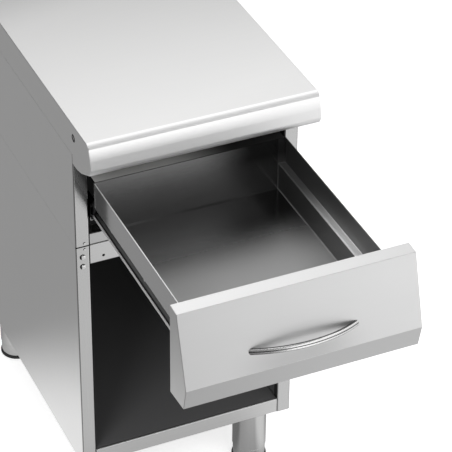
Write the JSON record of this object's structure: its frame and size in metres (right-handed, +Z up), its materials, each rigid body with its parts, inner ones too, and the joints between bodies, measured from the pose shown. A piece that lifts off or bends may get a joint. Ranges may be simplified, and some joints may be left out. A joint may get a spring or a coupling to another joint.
{
  "type": "catering worktop module",
  "caption": "Stainless steel worktop module: rolled-nose top over a drawer on roller slides with a bow handle, standing on an open base with a shelf and adjustable legs.",
  "frame": {"origin": "on the floor, under the middle of the whole outline with the drawer pulled out", "axes": "+X to the right seen from the front, +Y from the drawer front to the back panel, +Z up"},
  "size_m": [0.4, 1.0402, 0.85],
  "materials": {
    "worktop_steel": "satin ground stainless sheet",
    "panel_steel": "satin ground stainless sheet",
    "drawer_steel": "satin ground stainless sheet",
    "leg_steel": "turned and brushed stainless tube",
    "handle_metal": "bright, slightly satin",
    "slide_steel": "bright zinc plated rolled steel",
    "zinc_steel": "zinc plated steel",
    "fastener_steel": "polished stainless",
    "dark_lining": "charcoal, low gloss",
    "board": "raw moisture-resistant board",
    "rubber": "matt black",
    "roller_nylon": "dark nylon, slightly glossy"
  },
  "bodies": {
    "cabinet": {"base_back_panel": "panel_steel", "base_front_rail": "panel_steel", "base_rear_rail": "panel_steel", "bottom_shelf": "panel_steel", "cabinet_roller_axles": "slide_steel", "front_left_leg": "leg_steel", "front_right_leg": "leg_steel", "joint_hole_caps": "fastener_steel", "left_base_side_panel": "panel_steel", "left_cabinet_runner": "slide_steel", "left_niche_lining": "dark_lining", "left_runner_bracket": "slide_steel", "left_upper_side_panel": "panel_steel", "left_worktop_end": "worktop_steel", "leg_inserts": "zinc_steel", "leg_plates": "zinc_steel", "leg_screws": "fastener_steel", "module_bolts": "fastener_steel", "module_nuts": "fastener_steel", "niche_back_lining": "dark_lining", "post_rivets": "fastener_steel", "rear_left_leg": "leg_steel", "rear_right_leg": "leg_steel", "right_base_side_panel": "panel_steel", "right_cabinet_runner": "slide_steel", "right_niche_lining": "dark_lining", "right_runner_bracket": "slide_steel", "right_upper_side_panel": "panel_steel", "right_worktop_end": "worktop_steel", "runner_screws": "fastener_steel", "shelf_beams": "zinc_steel", "upper_back_panel": "panel_steel", "upper_front_rail": "panel_steel", "upper_rear_rail": "panel_steel", "worktop_core": "board", "worktop_sheet": "worktop_steel"},
    "drawer": {"drawer_tub": "drawer_steel", "drawer_front_skin": "drawer_steel", "drawer_front_ends": "drawer_steel", "drawer_front_back": "drawer_steel", "front_fixing_screws": "fastener_steel", "bow_handle": "handle_metal", "handle_screws": "fastener_steel", "drawer_buffers": "rubber", "left_drawer_runner": "slide_steel", "right_drawer_runner": "slide_steel", "runner_rivets": "fastener_steel", "drawer_roller_axles": "slide_steel"},
    "left_front_roller_body": {"left_front_roller": "roller_nylon"},
    "right_front_roller_body": {"right_front_roller": "roller_nylon"},
    "left_rear_roller_body": {"left_rear_roller": "roller_nylon"},
    "right_rear_roller_body": {"right_rear_roller": "roller_nylon"},
    "front_left_foot_body": {"front_left_foot": "leg_steel", "front_left_pad": "rubber"},
    "front_right_foot_body": {"front_right_foot": "leg_steel", "front_right_pad": "rubber"},
    "rear_left_foot_body": {"rear_left_foot": "leg_steel", "rear_left_pad": "rubber"},
    "rear_right_foot_body": {"rear_right_foot": "leg_steel", "rear_right_pad": "rubber"}
  },
  "joints": [
    {"name": "drawer_slide", "type": "slide", "parent": "cabinet", "child": "drawer", "axis": [0, -1, 0], "range_m": [-0.393, 0]},
    {"name": "left_front_roller_spin", "type": "hinge", "parent": "cabinet", "child": "left_front_roller_body", "pos_m": [-0.1619, -0.025, 0.6675], "axis": [1, 0, 0], "range_deg": [-1390.6, 0]},
    {"name": "left_rear_roller_spin", "type": "hinge", "parent": "drawer", "child": "left_rear_roller_body", "pos_m": [-0.167, 0.074, 0.6675], "axis": [1, 0, 0], "range_deg": [-1390.6, 0]},
    {"name": "right_front_roller_spin", "type": "hinge", "parent": "cabinet", "child": "right_front_roller_body", "pos_m": [0.1619, -0.025, 0.6675], "axis": [1, 0, 0], "range_deg": [-1390.6, 0]},
    {"name": "right_rear_roller_spin", "type": "hinge", "parent": "drawer", "child": "right_rear_roller_body", "pos_m": [0.167, 0.074, 0.6675], "axis": [1, 0, 0], "range_deg": [-1390.6, 0]},
    {"name": "front_left_foot_screw", "type": "slide", "parent": "cabinet", "child": "front_left_foot_body", "axis": [0, 0, 1], "range_m": [-0.025, 0]},
    {"name": "front_right_foot_screw", "type": "slide", "parent": "cabinet", "child": "front_right_foot_body", "axis": [0, 0, 1], "range_m": [-0.025, 0]},
    {"name": "rear_left_foot_screw", "type": "slide", "parent": "cabinet", "child": "rear_left_foot_body", "axis": [0, 0, 1], "range_m": [-0.025, 0]},
    {"name": "rear_right_foot_screw", "type": "slide", "parent": "cabinet", "child": "rear_right_foot_body", "axis": [0, 0, 1], "range_m": [-0.025, 0]}
  ],
  "couplings": [
    {"joint": "left_front_roller_spin", "follows": "drawer_slide", "rad_per_m": 61.728},
    {"joint": "left_rear_roller_spin", "follows": "drawer_slide", "rad_per_m": 61.728},
    {"joint": "right_front_roller_spin", "follows": "drawer_slide", "rad_per_m": 61.728},
    {"joint": "right_rear_roller_spin", "follows": "drawer_slide", "rad_per_m": 61.728}
  ]
}
